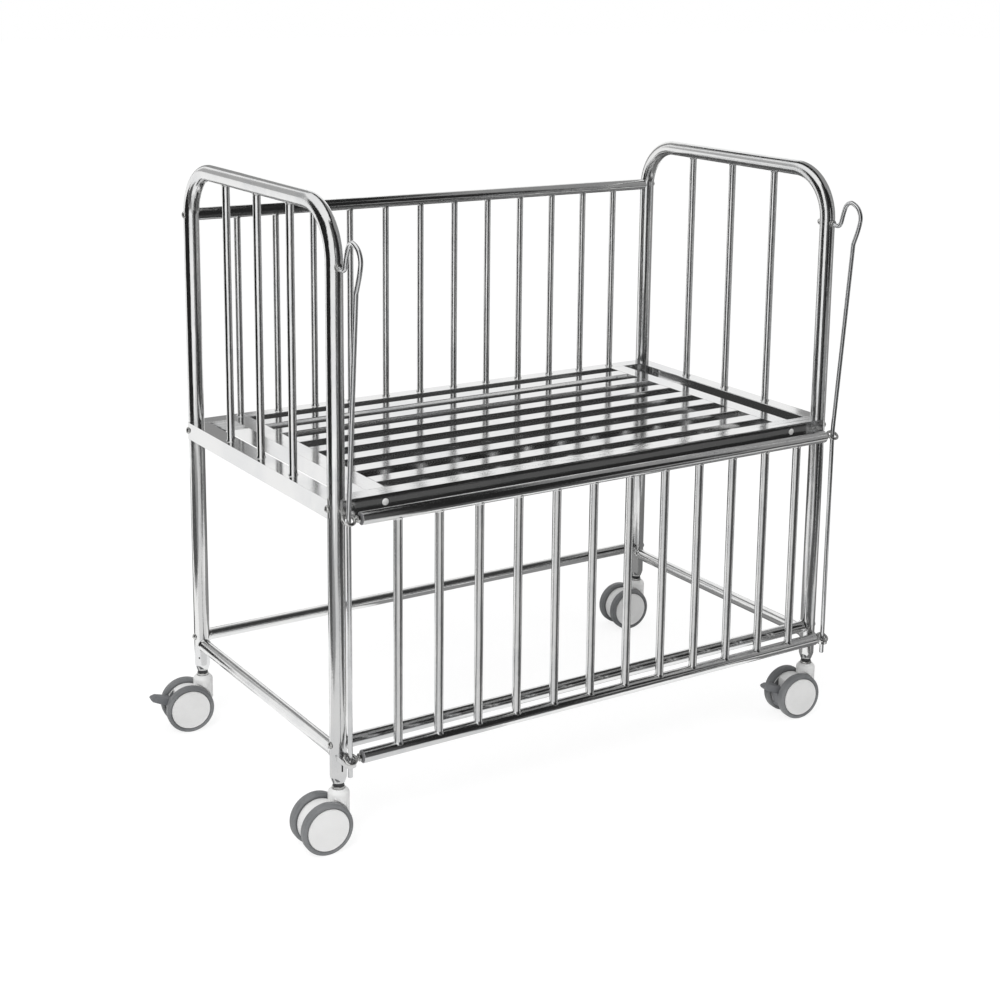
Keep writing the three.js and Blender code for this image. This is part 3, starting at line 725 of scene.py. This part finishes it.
def eye_bolt(name, label, height):
    """An eye bolt screwed into the end of a drop side tube, with its lock nut."""
    sign = SIGNS[label]
    ring_at = Vector((LEG_X[label], SIDE_Y, height))
    deselect()
    bpy.ops.mesh.primitive_torus_add(
        location=ring_at,
        major_radius=EYE_R,
        minor_radius=EYE_WIRE_R,
        major_segments=48,
        minor_segments=20,
    )
    ring = bpy.context.object
    ring.rotation_euler.x = EYE_TILT
    settle(ring)
    bpy.ops.object.shade_smooth()
    plug_face = abs(ring_at.x - (side_low.x if sign < 0 else side_high.x))
    profile = [
        (EYE_R - 0.6 * MM, EYE_WIRE_R * 0.9),
        (EYE_R + 1.4 * MM, EYE_WIRE_R * 1.15),
        (EYE_R + 2.6 * MM, EYE_SHANK_R * 0.92),
        (EYE_R + 3.4 * MM, EYE_SHANK_R),
        (plug_face + EYE_SHANK_SUNK, EYE_SHANK_R),
    ]
    shank = turned("shank", ring_at, X * -sign, profile, ROD_SIDES)
    nut_at = ring_at - X * sign * (plug_face - EYE_NUT_WIDTH - 0.3 * MM)
    nut = turned("nut", nut_at, X * -sign, nut_profile(EYE_NUT_WIDTH, EYE_NUT_R), 6, smooth_deg=20)
    return join(name, [ring, shank, nut])


for label in SIGNS:
    low_eye = eye_bolt(f"{label}_lower_eye", label, SIDE_LOW_Z)
    place_piece(low_eye, "lower_eyes", NUT_PLATE, "plated_steel", f"eye_lower_{label}")
    high_eye = eye_bolt(f"{label}_upper_eye", label, SIDE_HIGH_Z)
    place_piece(high_eye, "side", NUT_PLATE, "plated_steel", f"eye_upper_{label}")


# ---------------------------------------------------------------- guide rods

LEAN_START_Z = 650 * MM
LEAN_END_Z = 1056 * MM
LEAN = 33 * MM
NOTCH_Z = 1088 * MM
HOOK_REACH = 98.6 * MM
HOOK_H = 52.5 * MM
ROOT_RISE = 3 * MM
HOOK_STEPS = 84
LEAN_EASE = 12 * MM
ROD_NUT_WIDTH = 6 * MM
ACORN_RISE = 5 * MM
ACORN_SHARE = 0.84
WASHER_R = 8 * MM
WASHER_WIDTH = 1.5 * MM
LOCK_NUT_R = 7 * MM
LOCK_NUT_WIDTH = 4.5 * MM
# Centre line of the hook from its bulge over the crown down to the notch: reach, then height.
HOOK_SHARES = (
    (0.955, 0.04), (1, 0.42), (0.98, 0.62), (0.91, 0.82), (0.79, 0.96), (0.68, 1),
    (0.57, 0.88), (0.5, 0.62), (0.455, 0.34), (0.42, 0.14), (0.365, 0.02), (0.285, 0),
)


def smooth_line(points, steps):
    """Stations on a centripetal spline through all the points."""
    ends = [points[0] * 2 - points[1], *points, points[-1] * 2 - points[-2]]
    line = []
    for p0, p1, p2, p3 in zip(ends, ends[1:], ends[2:], ends[3:]):
        t1 = (p1 - p0).length ** 0.5
        t2 = t1 + (p2 - p1).length ** 0.5
        t3 = t2 + (p3 - p2).length ** 0.5
        count = max(2, round(steps / (len(points) - 1)))
        for i in range(count):
            t = t1 + (t2 - t1) * i / count
            a1 = p0 * ((t1 - t) / t1) + p1 * (t / t1)
            a2 = p1 * ((t2 - t) / (t2 - t1)) + p2 * ((t - t1) / (t2 - t1))
            a3 = p2 * ((t3 - t) / (t3 - t2)) + p3 * ((t - t2) / (t3 - t2))
            b1 = a1 * ((t2 - t) / t2) + a2 * (t / t2)
            b2 = a2 * ((t3 - t) / (t3 - t1)) + a3 * ((t - t1) / (t3 - t1))
            line.append(b1 * ((t2 - t) / (t2 - t1)) + b2 * ((t - t1) / (t2 - t1)))
    return line + [points[-1]]


def guide_rod(name, x):
    """A rod that stands plumb, leans out from above the side's rest and hooks back into the leg."""
    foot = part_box("guide_rod_left")[0].z
    hook = [Vector((x, SIDE_Y - LEAN, LEAN_END_Z))]
    hook += [Vector((x, FRONT_Y - HOOK_REACH * r, NOTCH_Z + HOOK_H * h)) for r, h in HOOK_SHARES]
    hook.append(Vector((x, FRONT_Y - LEG_R, NOTCH_Z + ROOT_RISE)))
    tail = Vector((x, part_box("guide_rod_left")[1].y, NOTCH_Z + ROOT_RISE))
    rod = Drawn(name, (x, SIDE_Y, foot), Z, ROD_R - 1.2 * MM, ROD_SIDES)
    rod.out(0.5 * MM, ROD_R - 0.4 * MM).out(0.8 * MM, ROD_R)
    start = Vector((x, SIDE_Y, LEAN_START_Z - LEAN_EASE))
    ease = [
        Vector((x, SIDE_Y - 0.15 * MM, LEAN_START_Z)),
        Vector((x, SIDE_Y - 0.9 * MM, LEAN_START_Z + LEAN_EASE)),
    ]
    rod.follow([start, *ease, *smooth_line(hook, HOOK_STEPS), tail], X)
    return rod.close()


left_rod = guide_rod("left_guide_rod", LEG_X["left"])
right_rod = shifted(left_rod, "right_guide_rod", X * (LEG_X["right"] - LEG_X["left"]))
place_piece(left_rod, "frame", PLATED, "plated_steel", "guide_rod_left")
place_piece(right_rod, "frame", PLATED, "plated_steel", "guide_rod_right")

nut_low, nut_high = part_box("rod_nut_left")
nut_r = (nut_high.z - nut_low.z) / 2
acorn = [(2 * MM, nut_r * ACORN_SHARE)] + [
    (ROD_NUT_WIDTH + ACORN_RISE * math.sin(t), nut_r * ACORN_SHARE * math.cos(t))
    for t in (math.radians(d) for d in (0, 20, 40, 58, 74, 86))
]
collar = [(0, 5 * MM), (0, WASHER_R), (WASHER_WIDTH, WASHER_R), (WASHER_WIDTH, 5 * MM)]
collar = eased(collar, 0.5 * MM)
for label in SIGNS:
    back = Vector((LEG_X[label], nut_low.y, NOTCH_Z + ROOT_RISE))
    hexagon = turned("nut", back, Y, nut_profile(ROD_NUT_WIDTH, nut_r), 6, smooth_deg=20)
    dome = turned("dome", back, Y, acorn, 32)
    front = Vector((LEG_X[label], FRONT_Y - LEG_R + 0.4 * MM, NOTCH_Z + ROOT_RISE))
    washer = turned("washer", front, -Y, collar, 32)
    lock_profile = nut_profile(LOCK_NUT_WIDTH, LOCK_NUT_R)
    lock = turned("lock", front - Y * WASHER_WIDTH, -Y, lock_profile, 6, smooth_deg=20)
    nut = join(f"{label}_rod_nut", [hexagon, dome, washer, lock])
    place_piece(nut, "frame", NUT_PLATE, "plated_steel", f"rod_nut_{label}")


# ---------------------------------------------------------------- casters

WHEEL_R = 50 * MM
WHEEL_W = 21 * MM
WHEEL_GAP = 31 * MM
TRAIL = 35 * MM
DISC_R = 41.5 * MM
COLUMN_R = 20.4 * MM
COLUMN_TIP_R = 14 * MM
COLUMN_TAPER = 7 * MM
COLUMN_FOOT_Z = 60 * MM
CUP_DEPTH = 4.5 * MM
HOUSING_TOP_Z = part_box("caster_housing_front_left")[1].z
HOOD_R = 43 * MM
HOOD_W = 26 * MM
HOOD_FOOT_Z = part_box("caster_housing_front_left")[0].z
HOOD_BACK = 61 * MM
WHEEL_ROOM_R = WHEEL_R + 2 * MM
WHEEL_ROOM_DEPTH = 14 * MM
TREAD_ROUND = 3.4 * MM
COVER_DEPTH = 3.4 * MM
HUB_R = 11 * MM
RIM_R = DISC_R - 1.5 * MM
SILVER_R = 12 * MM
BLACK_R = 10.5 * MM
SILVER_Z = (HOUSING_TOP_Z - 5 * MM, HOUSING_TOP_Z + 4.8 * MM)
AXLE = Vector((-TRAIL, 0, WHEEL_R))
PEDAL_EDGE = 3 * MM
PEDAL_NECK = 80 * MM
PEDAL_NECK_Z = 68 * MM
PEDAL_SHARE = 0.66
PEDAL_DROP = math.radians(14)
PEDAL_TIP = 98 * MM
PEDAL_TAPER = 0.75


def caster_housing(brake):
    """The white hood over the wheels with the round column that the stem stands in."""
    rim = [(0, POLE), (0, HOOD_R), (HOOD_W, HOOD_R), (HOOD_W, POLE)]
    hood = turned("housing", AXLE - Y * HOOD_W / 2, Y, eased(rim, 2.2 * MM, 4), WHEEL_SIDES)
    edit(hood)
    bpy.ops.mesh.select_all(action="SELECT")
    bpy.ops.mesh.bisect(plane_co=(0, 0, HOOD_FOOT_Z), plane_no=Z, use_fill=True, clear_inner=True)
    if brake:
        bpy.ops.mesh.select_all(action="SELECT")
        bpy.ops.mesh.bisect(plane_co=(-HOOD_BACK, 0, 0), plane_no=X, use_fill=True, clear_inner=True)
    leave_edit()
    height = HOUSING_TOP_Z - COLUMN_FOOT_Z
    profile = [(0, POLE), (0, COLUMN_R), (height - COLUMN_TAPER, COLUMN_R), (height, COLUMN_TIP_R)]
    profile += [(height, SILVER_R), (height - CUP_DEPTH, SILVER_R), (height - CUP_DEPTH, POLE)]
    column = turned("column", (0, 0, COLUMN_FOOT_Z), Z, eased(profile, 3 * MM, 4), 72)
    combine(hood, column, "UNION")
    profile = [(0, WHEEL_ROOM_R), (WHEEL_ROOM_DEPTH, WHEEL_ROOM_R)]
    for side in (-1, 1):
        room = turned("room", AXLE + Y * side * HOOD_W / 2, Y * side, profile, WHEEL_SIDES)
        combine(hood, room, "DIFFERENCE")
    return round_edges(hood, 0.9 * MM, segments=3, over_deg=42)


def wheel_tyre():
    """The grey tread ring of one wheel, its inner face at the origin."""
    inner, outer = 0.1 * MM, WHEEL_W - 0.1 * MM
    profile = [
        (1.2 * MM, RIM_R),
        (1.2 * MM, DISC_R),
        (inner, DISC_R + 1.6 * MM),
        (inner, WHEEL_R - TREAD_ROUND),
        (3.6 * MM, WHEEL_R),
        (WHEEL_W - 3.6 * MM, WHEEL_R),
        (outer, WHEEL_R - TREAD_ROUND),
        (outer, DISC_R + 2 * MM),
        (WHEEL_W - COVER_DEPTH, DISC_R),
        (WHEEL_W - COVER_DEPTH, RIM_R),
    ]
    return turned("tyre", (0, 0, 0), Y, eased(profile, 3.2 * MM, 5), WHEEL_SIDES)


def wheel_face():
    """The white core of one wheel: a ribbed hub inside and a gently domed cover outside."""
    profile = [
        (2.6 * MM, POLE),
        (2.6 * MM, HUB_R),
        (0.4 * MM, HUB_R + 0.6 * MM),
        (0.4 * MM, HUB_R + 3 * MM),
        (2.2 * MM, HUB_R + 4 * MM),
        (2.2 * MM, DISC_R - 4 * MM),
        (0.9 * MM, DISC_R - 3 * MM),
        (0.9 * MM, DISC_R - 0.2 * MM),
        (WHEEL_W - 1.7 * MM, DISC_R - 0.9 * MM),
        (WHEEL_W - 0.75 * MM, DISC_R - 1.5 * MM),
        (WHEEL_W - 0.75 * MM, DISC_R - 2.2 * MM),
        (WHEEL_W - 1.15 * MM, DISC_R - 3.2 * MM),
        (WHEEL_W - 0.95 * MM, DISC_R * 0.7),
        (WHEEL_W - 0.6 * MM, DISC_R * 0.35),
        (WHEEL_W - 0.5 * MM, POLE),
    ]
    return turned("face", (0, 0, 0), Y, eased(profile, 1.2 * MM, 4), WHEEL_SIDES)


def stem_ring(name, low, high, radius, edge):
    """One of the two rings round a caster's stem."""
    profile = [(low, POLE), (low, radius), (high, radius), (high, POLE)]
    return turned(name, (0, 0, 0), Z, eased(profile, edge), 48)


def brake_pedal(corner, turn):
    """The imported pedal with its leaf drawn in, tapered and lowered, as in the photograph."""
    pedal = folded(f"brake_pedal_{corner}", f"{corner}_pedal", PEDAL_EDGE)
    pedal.matrix_world = turn.inverted()
    settle(pedal)
    edit(pedal)
    choose_edges(pedal, lambda a, b: max(a.x, b.x) < -PEDAL_NECK)
    bpy.ops.transform.resize(value=(PEDAL_SHARE, 1, 1), center_override=(-PEDAL_NECK, 0, 0))
    bpy.ops.transform.rotate(
        value=PEDAL_DROP, orient_axis="Y", center_override=(-PEDAL_NECK, 0, PEDAL_NECK_Z)
    )
    choose_edges(pedal, lambda a, b: max(a.x, b.x) < -PEDAL_TIP)
    bpy.ops.transform.resize(value=(1, PEDAL_TAPER, 1), center_override=(-PEDAL_TIP, 0, 0))
    leave_edit()
    pedal.matrix_world = turn
    settle(pedal)
    return pedal


def swivelled(corner):
    """The place and turn of a caster, from its leg and the axis of its wheels."""
    name = f"spin_{corner}_far"
    axis = next(joint["axis"] for joint in frame["joints"] if joint["name"] == name)
    turn = math.atan2(-axis[0], axis[1])
    return Matrix.Translation((*CORNERS[corner], 0)) @ Matrix.Rotation(turn, 4, "Z")


housings = {False: caster_housing(False), True: caster_housing(True)}
tyre, face = wheel_tyre(), wheel_face()
silver_ring = stem_ring("silver_ring", *SILVER_Z, SILVER_R - 0.2 * MM, 0.9 * MM)
black_ring = stem_ring("black_ring", SILVER_Z[1], FOOT_Z + 0.5 * MM, BLACK_R, 0.8 * MM)
wheel_places = {
    "far": Matrix.Translation(AXLE + Y * WHEEL_GAP / 2),
    "near": Matrix.Rotation(math.pi, 4, "Z") @ Matrix.Translation((TRAIL, WHEEL_GAP / 2, WHEEL_R)),
}
for corner in CORNERS:
    turn = swivelled(corner)
    braked = f"brake_pedal_{corner}" in frame["nodes"]
    piece = copy_to(housings[braked], f"{corner}_housing", turn)
    place_piece(piece, f"caster_{corner}", NYLON, "white_plastic", f"caster_housing_{corner}")
    piece = copy_to(silver_ring, f"{corner}_silver_ring", turn)
    place_piece(piece, "frame", NUT_PLATE, "plated_steel", f"caster_stem_{corner}")
    place_piece(copy_to(black_ring, f"{corner}_black_ring", turn), "frame", BLACK_RING, "plated_steel")
    for side, placing in wheel_places.items():
        body = f"roll_{corner}_{side}"
        rim = copy_to(tyre, f"{corner}_{side}_tyre", turn @ placing)
        place_piece(rim, body, TYRE, "wheel_grey", f"wheel_{corner}_{side}")
        place_piece(copy_to(face, f"{corner}_{side}_face", turn @ placing), body, WHEEL_FACE, "wheel_grey")
    if braked:
        piece = brake_pedal(corner, turn)
        place_piece(piece, f"pedal_{corner}", PEDAL, "pedal_grey", f"brake_pedal_{corner}")
    axle = frame["nodes"][f"wheel_axle_{corner}"]
    axle.data.materials.clear()
    axle.data.materials.append(NUT_PLATE)
for master in (*housings.values(), tyre, face, silver_ring, black_ring):
    bpy.data.objects.remove(master)


# ---------------------------------------------------------------- camera, light and floor

camera_data = bpy.data.cameras.new("camera")
camera_data.lens = CAMERA_LENS
camera_data.sensor_width = 36
camera_data.shift_x, camera_data.shift_y = CAMERA_SHIFT
camera = bpy.data.objects.new("camera", camera_data)
bpy.context.scene.collection.objects.link(camera)
camera.matrix_world = (
    Matrix.Translation(CAMERA_PLACE)
    @ Matrix.Rotation(-CAMERA_YAW, 4, "Z")
    @ Matrix.Rotation(math.pi / 2 - CAMERA_PITCH, 4, "X")
    @ Matrix.Rotation(CAMERA_ROLL, 4, "Z")
)
bpy.context.scene.camera = camera
bpy.context.scene.view_settings.view_transform = "Standard"

AMBIENT = 0.72
FLOOR_SHADE = 0.8
FLOOR_FAINT = 0.24
FLOOR_GLOW = 0.835
LAMP_AIM_Z = 0.6
CARD_TONES = {
    "dark": 0.02,
    "under": 0.05,
    "dusk": 0.1,
    "mid": 0.2,
    "grey": 0.3,
    "half": 0.45,
    "pale": 0.72,
    "light": 0.78,
}
UNSEEN_BY = (
    "visible_camera", "visible_diffuse", "visible_shadow", "visible_transmission", "visible_volume_scatter",
)
TO_RIGHT, TO_BACK, UP = (1, 0, 0), (0, 1, 0), (0, 0, 1)
TO_LEFT, TO_FRONT, DOWN = (-1, 0, 0), (0, -1, 0), (0, 0, -1)


def seen_directly(nodes, links):
    """One where a ray comes from the camera, a mirror or glass."""
    path = nodes.new("ShaderNodeLightPath")
    total = nodes.new("ShaderNodeMath")
    total.operation = "ADD"
    links.new(path.outputs["Is Camera Ray"], total.inputs[0])
    links.new(path.outputs["Is Glossy Ray"], total.inputs[1])
    both = nodes.new("ShaderNodeMath")
    both.operation = "ADD"
    both.use_clamp = True
    links.new(total.outputs[0], both.inputs[0])
    links.new(path.outputs["Is Transmission Ray"], both.inputs[1])
    return both.outputs[0]


def light_world(ambient):
    """A white room that lights the plastics a little less than it shows."""
    world = bpy.data.worlds.new("white_room")
    bpy.context.scene.world = world
    world.use_nodes = True
    nodes, links = world.node_tree.nodes, world.node_tree.links
    background = nodes["Background"]
    background.inputs["Color"].default_value = (1, 1, 1, 1)
    level = nodes.new("ShaderNodeMapRange")
    level.inputs["To Min"].default_value = ambient
    level.inputs["To Max"].default_value = 1
    links.new(seen_directly(nodes, links), level.inputs["Value"])
    links.new(level.outputs["Result"], background.inputs["Strength"])


def floor_material():
    """White where it is seen, and a plain grey for the light that it throws back."""
    material = bpy.data.materials.new("pale_floor")
    material.use_nodes = True
    nodes, links = material.node_tree.nodes, material.node_tree.links
    nodes.remove(nodes["Principled BSDF"])
    plain = nodes.new("ShaderNodeBsdfDiffuse")
    plain.inputs["Color"].default_value = (FLOOR_SHADE, FLOOR_SHADE, FLOOR_SHADE, 1)
    faint = nodes.new("ShaderNodeBsdfDiffuse")
    faint.inputs["Color"].default_value = (FLOOR_FAINT, FLOOR_FAINT, FLOOR_FAINT, 1)
    glow = nodes.new("ShaderNodeEmission")
    glow.inputs["Strength"].default_value = FLOOR_GLOW
    white = nodes.new("ShaderNodeAddShader")
    links.new(faint.outputs[0], white.inputs[0])
    links.new(glow.outputs[0], white.inputs[1])
    choice = nodes.new("ShaderNodeMixShader")
    links.new(seen_directly(nodes, links), choice.inputs["Fac"])
    links.new(plain.outputs[0], choice.inputs[1])
    links.new(white.outputs[0], choice.inputs[2])
    links.new(choice.outputs[0], nodes["Material Output"].inputs["Surface"])
    return material


def card_material(name, level):
    material = bpy.data.materials.new(name)
    material.use_nodes = True
    nodes, links = material.node_tree.nodes, material.node_tree.links
    nodes.remove(nodes["Principled BSDF"])
    glow = nodes.new("ShaderNodeEmission")
    glow.inputs["Color"].default_value = (level, level, level, 1)
    links.new(glow.outputs[0], nodes["Material Output"].inputs["Surface"])
    return material


def card(name, centre, width, height, material, facing):
    """A flat glowing screen that only shows in polished metal, as a painted reflection; it lights nothing
    and casts no shadow.
    """
    turn = Vector(facing).to_track_quat("Z", "Y").to_euler()
    deselect()
    bpy.ops.mesh.primitive_plane_add(size=1, location=centre, rotation=turn)
    screen = bpy.context.object
    screen.name = name
    screen.scale = (width, height, 1)
    screen.data.materials.append(material)
    for flag in UNSEEN_BY:
        setattr(screen, flag, False)


def lamp(name, place, size, power):
    """A round lamp turned to the cot, which polished metal doesn't mirror."""
    data = bpy.data.lights.new(name, "AREA")
    data.shape = "DISK"
    data.size = size
    data.energy = power
    light = bpy.data.objects.new(name, data)
    bpy.context.scene.collection.objects.link(light)
    light.location = place
    aim = Vector((MID_X, 0, LAMP_AIM_Z)) - Vector(place)
    light.rotation_euler = aim.to_track_quat("-Z", "Y").to_euler()
    light.visible_glossy = False


light_world(AMBIENT)
lamp("left_lamp", (-2.6, -2.4, 3.4), 1.8, 85)
lamp("right_lamp", (3.0, -1.6, 3.0), 1.8, 8)

bpy.ops.mesh.primitive_plane_add(size=60)
floor = bpy.context.object
floor.name = "floor"
floor.data.materials.append(floor_material())

card_tones = {tone: card_material(f"{tone}_card", level) for tone, level in CARD_TONES.items()}
rail_y = SIDE_Y + GRILLE_TUBE_R + 2.5 * MM
# Painted reflections, the glowing screens that the steel mirrors: each card's name, middle, width, height,
# tone and the way it faces.
CARDS = (
    ("front_dusk", (-0.425, -1.6, 2.1), 0.85, 4.2, "dusk", TO_BACK),
    ("front_dark", (0.4, -1.6, 2.1), 0.8, 4.2, "dark", TO_BACK),
    ("front_low", (1.7, -1.6, 0.125), 1.8, 0.25, "dark", TO_BACK),
    ("front_grey", (1.7, -1.6, 0.475), 1.8, 0.45, "grey", TO_BACK),
    ("front_high", (1.275, -1.6, 2.45), 0.95, 3.5, "dark", TO_BACK),
    ("front_far", (2.275, -1.6, 2.45), 1.05, 3.5, "grey", TO_BACK),
    ("front_floor", (1.35, -1.1, 0.003), 2.9, 1.0, "dusk", UP),
    ("pale_floor", (-0.45, -1.75, 0.002), 2.9, 1.7, "pale", UP),
    ("right_floor", (1.7, 0.075, 0.003), 2.2, 1.35, "mid", UP),
    ("right_grey", (3.0, 0.4, 1.75), 4.0, 3.5, "grey", TO_LEFT),
    ("inside_floor", (0.3, 0.4, 0.003), 0.6, 1.2, "grey", UP),
    ("roof_dark", (0.675, 0.5, 3.0), 0.95, 4.2, "dark", DOWN),
    ("roof_grey", (1.825, 0.15, 3.0), 1.35, 3.5, "grey", DOWN),
    ("left_dark", (-2.4, 0.8, 1.5), 3.2, 3.0, "dark", TO_RIGHT),
    ("left_floor", (-1.82, 0.53, 0.003), 1.06, 1.7, "dusk", UP),
    ("left_grey_floor", (-1.77, -0.73, 0.003), 1.15, 0.82, "grey", UP),
    ("foot_floor", (-0.65, -0.52, 0.0025), 1.1, 1.26, "light", UP),
    ("tube_floor", (1.4, -0.8, 0.0035), 1.3, 0.4, "pale", UP),
    # under_deck lies just below the deck and paints dark shade into the steel's reflections there.
    ("under_deck", (MID_X, 0.027, 0.6), 1.05, 0.6, "under", UP),
    ("back_floor", (0.6, 1.5, 0.003), 3.0, 1.5, "dusk", UP),
    ("back_grey", (0.125, 2.5, 1.7), 0.95, 3.4, "grey", TO_FRONT),
    ("back_left", (-1.5, 2.5, 2.2), 1.3, 1.6, "half", TO_FRONT),
    # rail_dark and rail_dusk sit in the gap between the front rail's web and the drop side's lower tube, and
    # paint a dark reflection on the web.
    ("rail_dark", (MID_X, rail_y, 0.648), 1.08, 0.03, "dark", TO_BACK),
    ("rail_dusk", (MID_X, rail_y + 0.5 * MM, 0.652), 1.08, 0.01, "dusk", TO_BACK),
)
for name, centre, width, height, tone, facing in CARDS:
    card(name, centre, width, height, card_tones[tone], facing)
